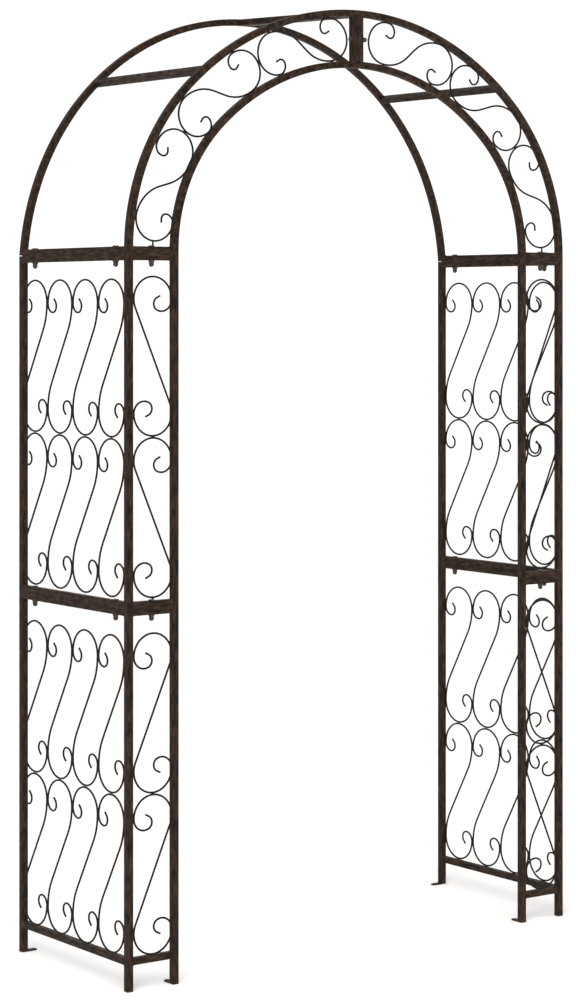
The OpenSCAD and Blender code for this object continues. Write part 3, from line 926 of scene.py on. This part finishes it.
class TRELLIS_OT_foot_plates(bpy.types.Operator):
    """Add the plates with round-ended tabs under the back and inner legs"""
    bl_idname = "trellis.foot_plates"
    bl_label = "Foot plates"

    def execute(self, context):
        low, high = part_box("left_foot_plates")
        tab = context.scene.trellis_sizes.foot_tab
        bpy.ops.object.select_all(action="DESELECT")
        bpy.ops.mesh.primitive_plane_add(size=1)
        plate = bpy.context.object
        plate.scale = (tab + TUBE, TUBE, 1)
        plate.location = (tab / 2, 0, 0)
        only(plate)
        bpy.ops.object.transform_apply(location=True, rotation=True, scale=True)
        edit(plate, "DESELECT")
        done()
        for vertex in plate.data.vertices:
            vertex.select = vertex.co.x > tab
        bpy.ops.object.mode_set(mode="EDIT")
        bpy.ops.mesh.select_mode(type="VERT")
        bpy.ops.mesh.bevel(offset=TUBE * 0.497, segments=10, affect="VERTICES")
        bpy.ops.mesh.select_all(action="SELECT")
        bpy.ops.mesh.extrude_region_move(TRANSFORM_OT_translate={"value": (0, 0, high.z - low.z)})
        done()
        close_up(plate)
        bpy.ops.object.select_all(action="DESELECT")
        bpy.ops.mesh.primitive_cylinder_add(vertices=32, radius=PEG_R, depth=DRILL_LENGTH,
                                            location=(tab, 0, 0))
        drill = bpy.context.object
        applied(plate, "BOOLEAN", object=drill, operation="DIFFERENCE", solver="EXACT")
        discard(drill)
        applied(plate, "BEVEL", width=PLATE_EDGE, segments=2, limit_method="ANGLE",
                angle_limit=radians(40))
        close_up(plate)
        back = copied(plate, Matrix.Translation((OUTER_X + TUBE / 2, BACK_Y - TUBE / 2, 0)))
        front = copied(plate, Matrix.Translation((INNER_X - TUBE / 2, FRONT_Y + TUBE / 2, 0))
                       @ Matrix.Rotation(pi / 2, 4, "Z"))
        both_sides(joined([back, front]), "foot_tab_plates", finish_of("crosswise"), "frame",
                   "foot_plates")
        discard(plate)
        return {"FINISHED"}


class TRELLIS_OT_leg_caps(bpy.types.Operator):
    """Add the plastic cap under each corner leg"""
    bl_idname = "trellis.leg_caps"
    bl_label = "Leg caps"

    def execute(self, context):
        low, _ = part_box("left_leg_cap")
        bpy.ops.object.select_all(action="DESELECT")
        bpy.ops.mesh.primitive_cube_add(size=TUBE, location=(0, 0, TUBE / 2))
        cap = bpy.context.object
        edit(cap)
        bpy.ops.mesh.bisect(plane_co=(0, 0, FOOT_Z), plane_no=(0, 0, 1), use_fill=True,
                            clear_outer=True)
        done()
        applied(cap, "BEVEL", width=CAP_EDGE, segments=3, limit_method="ANGLE",
                angle_limit=radians(40))
        placed(cap, Matrix.Translation((OUTER_X + TUBE / 2, FRONT_Y + TUBE / 2, 0))
               @ cap.matrix_world)
        close_up(cap)
        both_sides(cap, "leg_end_cap", finish_of("cap"), "caps", "leg_cap")
        return {"FINISHED"}


# ---------- stage ----------

class TRELLIS_OT_stage(bpy.types.Operator):
    """Add the pale floor, the soft lights and the camera"""
    bl_idname = "trellis.stage"
    bl_label = "Floor, lights and camera"

    def execute(self, context):
        scene = context.scene
        bpy.ops.object.select_all(action="DESELECT")
        bpy.ops.mesh.primitive_plane_add(size=1)
        sweep = bpy.context.object
        sweep.name = "pale_floor"
        edit(sweep, "DESELECT")
        done()
        for vertex in sweep.data.vertices:
            vertex.co.x *= FLOOR_W
            vertex.co.y = vertex.co.y * FLOOR_D + FLOOR_Y
            vertex.select = vertex.co.y > 0
        for edge in sweep.data.edges:
            edge.select = all(sweep.data.vertices[v].co.y > 0 for v in edge.vertices)
        bpy.ops.object.mode_set(mode="EDIT")
        bpy.ops.mesh.select_mode(type="EDGE")
        bpy.ops.mesh.spin(steps=24, angle=pi / 2, axis=(-1, 0, 0),
                          center=(0, FLOOR_Y + FLOOR_D / 2, BEND_R))
        bpy.ops.mesh.extrude_region_move(TRANSFORM_OT_translate={"value": (0, 0, WALL_H)})
        done()
        bpy.ops.object.shade_smooth()
        placed(sweep, Matrix.Rotation(-SWEEP_TURN, 4, "Z"))
        material, tree = blank("painted_studio_floor")
        skin = add(tree, "ShaderNodeBsdfPrincipled", Roughness=0.9)
        skin.inputs["Base Color"].default_value = (*linear("#f4f3f1"), 1)
        add(tree, "ShaderNodeOutputMaterial", {"Surface": skin.outputs[0]})
        sweep.data.materials.append(material)
        world = bpy.data.worlds.new("studio_air")
        world.use_nodes = True
        air = world.node_tree.nodes["Background"]
        air.inputs["Color"].default_value = (1, 1, 1, 1)
        air.inputs["Strength"].default_value = AIR_STRENGTH
        scene.world = world
        middle = Vector((0, 0, (CAD_BOX[0].z + CAD_BOX[1].z) / 2))
        for name, at, size, power in SOFTBOXES:
            lamp = bpy.data.lights.new(name, "AREA")
            lamp.shape, lamp.size, lamp.energy = "SQUARE", size, power
            holder = bpy.data.objects.new(name, lamp)
            context.collection.objects.link(holder)
            holder.location = at
            holder.rotation_euler = (middle - Vector(at)).to_track_quat("-Z", "Y").to_euler()
        lamp = bpy.data.lights.new("overhead_silk", "SUN")
        lamp.energy, lamp.angle = SUN_STRENGTH, SUN_SIZE
        holder = bpy.data.objects.new("overhead_silk", lamp)
        context.collection.objects.link(holder)
        holder.rotation_euler = (SUN_TILT, 0, -SWEEP_TURN)
        camera = bpy.data.cameras.new("camera")
        camera.sensor_fit, camera.sensor_height = "VERTICAL", SENSOR_H
        camera.lens = LENS
        camera.shift_y = SHIFT_Y
        camera.clip_end = 100
        holder = bpy.data.objects.new("camera", camera)
        context.collection.objects.link(holder)
        holder.location = CAMERA_AT
        holder.rotation_euler = (pi / 2, 0.0, CAMERA_TURN)
        scene.camera = holder
        scene.view_settings.view_transform = "Standard"
        return {"FINISHED"}


# ---------- settings, panel and registration ----------

class TrellisSizes(bpy.types.PropertyGroup):
    corner_radius: FloatProperty(
        name="Tube corner radius", description="Outer corner radius of the square tube",
        default=0.0010, min=0.0005, max=0.004, precision=4, unit="LENGTH")
    wire_diameter: FloatProperty(
        name="Wire diameter", description="Diameter of the scroll wire",
        default=0.0047, min=0.003, max=0.0047, precision=4, unit="LENGTH")
    arch_loop_radius: FloatProperty(
        name="Arch loop radius", description="Radius of the loops of the arch scrolls",
        default=0.0511, min=0.045, max=0.0511, precision=4, unit="LENGTH")
    foot_tab: FloatProperty(
        name="Foot tab", description="Distance from the leg's middle to the peg hole",
        default=0.028, min=0.015, max=0.04, precision=4, unit="LENGTH")


class TrellisColours(bpy.types.PropertyGroup):
    tube: FloatVectorProperty(
        name="Tube", description="Bronze powder coat of the frame tube",
        default=linear("#33251b"), size=3, min=0, max=1, subtype="COLOR")
    wire: FloatVectorProperty(
        name="Wire", description="Black powder coat of the scroll wire",
        default=linear("#131211"), size=3, min=0, max=1, subtype="COLOR")
    bolt: FloatVectorProperty(
        name="Bolts", description="Bronzed zinc of the bolts and cap nuts",
        default=linear("#4a423c"), size=3, min=0, max=1, subtype="COLOR")
    cap: FloatVectorProperty(
        name="Leg caps", description="Moulded plastic of the leg caps",
        default=linear("#1b1a19"), size=3, min=0, max=1, subtype="COLOR")


STEPS = (
    TRELLIS_OT_posts, TRELLIS_OT_rails, TRELLIS_OT_arches, TRELLIS_OT_cross_bars,
    TRELLIS_OT_side_scrolls, TRELLIS_OT_front_scrolls, TRELLIS_OT_arch_scrolls,
    TRELLIS_OT_bolts, TRELLIS_OT_foot_plates, TRELLIS_OT_leg_caps, TRELLIS_OT_stage,
)


class TRELLIS_PT_panel(bpy.types.Panel):
    """The arch's sizes, colours and building steps"""
    bl_label = "Trellis Arch"
    bl_idname = "TRELLIS_PT_panel"
    bl_space_type = "VIEW_3D"
    bl_region_type = "UI"
    bl_category = "Trellis Arch"

    def draw(self, context):
        sizes = context.scene.trellis_sizes
        for name in ("corner_radius", "wire_diameter", "arch_loop_radius", "foot_tab"):
            self.layout.prop(sizes, name)
        for name in ("tube", "wire", "bolt", "cap"):
            self.layout.prop(context.scene.trellis_colours, name)
        for step in STEPS:
            self.layout.operator(step.bl_idname)


CLASSES = (TrellisSizes, TrellisColours, *STEPS, TRELLIS_PT_panel)


def register():
    for cls in CLASSES:
        bpy.utils.register_class(cls)
    bpy.types.Scene.trellis_sizes = PointerProperty(type=TrellisSizes)
    bpy.types.Scene.trellis_colours = PointerProperty(type=TrellisColours)


def unregister():
    del bpy.types.Scene.trellis_colours
    del bpy.types.Scene.trellis_sizes
    for cls in reversed(CLASSES):
        bpy.utils.unregister_class(cls)


def main():
    register()
    for step in STEPS:
        family, name = step.bl_idname.split(".")
        getattr(getattr(bpy.ops, family), name)()


if __name__ == "__main__":
    main()
